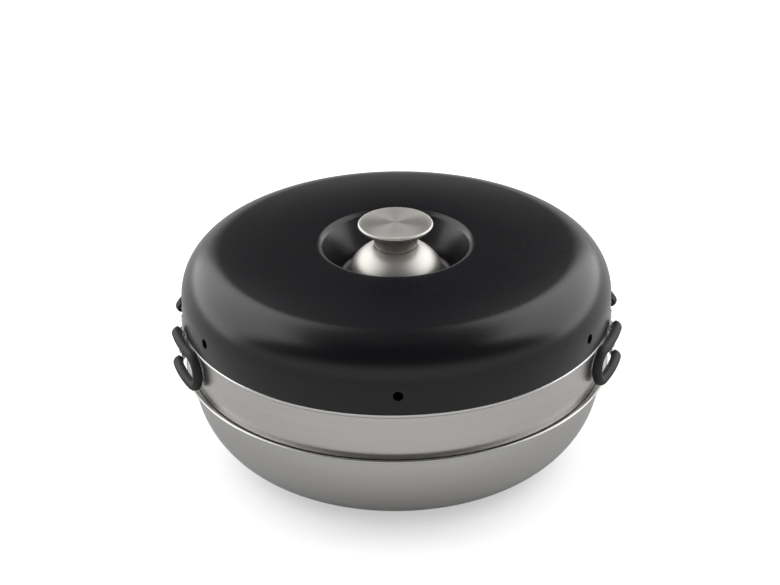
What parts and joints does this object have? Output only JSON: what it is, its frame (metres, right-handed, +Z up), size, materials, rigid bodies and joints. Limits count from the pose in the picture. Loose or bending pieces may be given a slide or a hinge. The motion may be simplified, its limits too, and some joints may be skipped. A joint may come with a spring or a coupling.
{
  "type": "camping oven",
  "caption": "Round stove-top camping oven: base dish with flame hole, ring pan with chimney, black coated lid with steel knob, fold-away wire grips.",
  "frame": {"origin": "on the floor under the oven's centre", "axes": "+Z up along the round body's axis, front at -Y, the folding grips at +X and -X"},
  "size_m": [0.2716, 0.26, 0.1482],
  "materials": {
    "steel_dish": "spun and brushed round the axis",
    "steel_pan": "spun and brushed round the axis",
    "coated_lid": "satin black non-stick coating",
    "knob_steel": "turned and polished",
    "fastener_steel": "plain",
    "bracket_steel": "pressed sheet",
    "wire_steel": "drawn wire",
    "silicone": "matte silicone"
  },
  "bodies": {
    "base": {"base_dish": "steel_dish"},
    "pan": {"ring_pan": "steel_pan", "right_bracket": "bracket_steel", "left_bracket": "bracket_steel", "right_rivets": "fastener_steel", "left_rivets": "fastener_steel"},
    "lid": {"lid_shell": "coated_lid", "knob_dome": "knob_steel", "knob_neck": "knob_steel", "knob_cap": "knob_steel", "lid_screw": "fastener_steel", "flat_washer": "fastener_steel", "lock_washer": "fastener_steel"},
    "right_front_grip": {"right_front_wire": "wire_steel", "right_front_sleeve": "silicone"},
    "right_back_grip": {"right_back_wire": "wire_steel", "right_back_sleeve": "silicone"},
    "left_front_grip": {"left_front_wire": "wire_steel", "left_front_sleeve": "silicone"},
    "left_back_grip": {"left_back_wire": "wire_steel", "left_back_sleeve": "silicone"}
  },
  "joints": [
    {"name": "pan_lift", "type": "slide", "parent": "base", "child": "pan", "axis": [0, 0, 1], "range_m": [0, 0.12]},
    {"name": "lid_lift", "type": "slide", "parent": "pan", "child": "lid", "axis": [0, 0, 1], "range_m": [0, 0.1]},
    {"name": "right_front_fold", "type": "hinge", "parent": "pan", "child": "right_front_grip", "pos_m": [0.12962, -0.013, 0.0745], "axis": [0, 0, 1], "range_deg": [0, 95]},
    {"name": "right_back_fold", "type": "hinge", "parent": "pan", "child": "right_back_grip", "pos_m": [0.12962, 0.013, 0.0745], "axis": [0, 0, -1], "range_deg": [0, 95]},
    {"name": "left_front_fold", "type": "hinge", "parent": "pan", "child": "left_front_grip", "pos_m": [-0.12962, -0.013, 0.0745], "axis": [0, 0, -1], "range_deg": [0, 95]},
    {"name": "left_back_fold", "type": "hinge", "parent": "pan", "child": "left_back_grip", "pos_m": [-0.12962, 0.013, 0.0745], "axis": [0, 0, 1], "range_deg": [0, 95]}
  ]
}
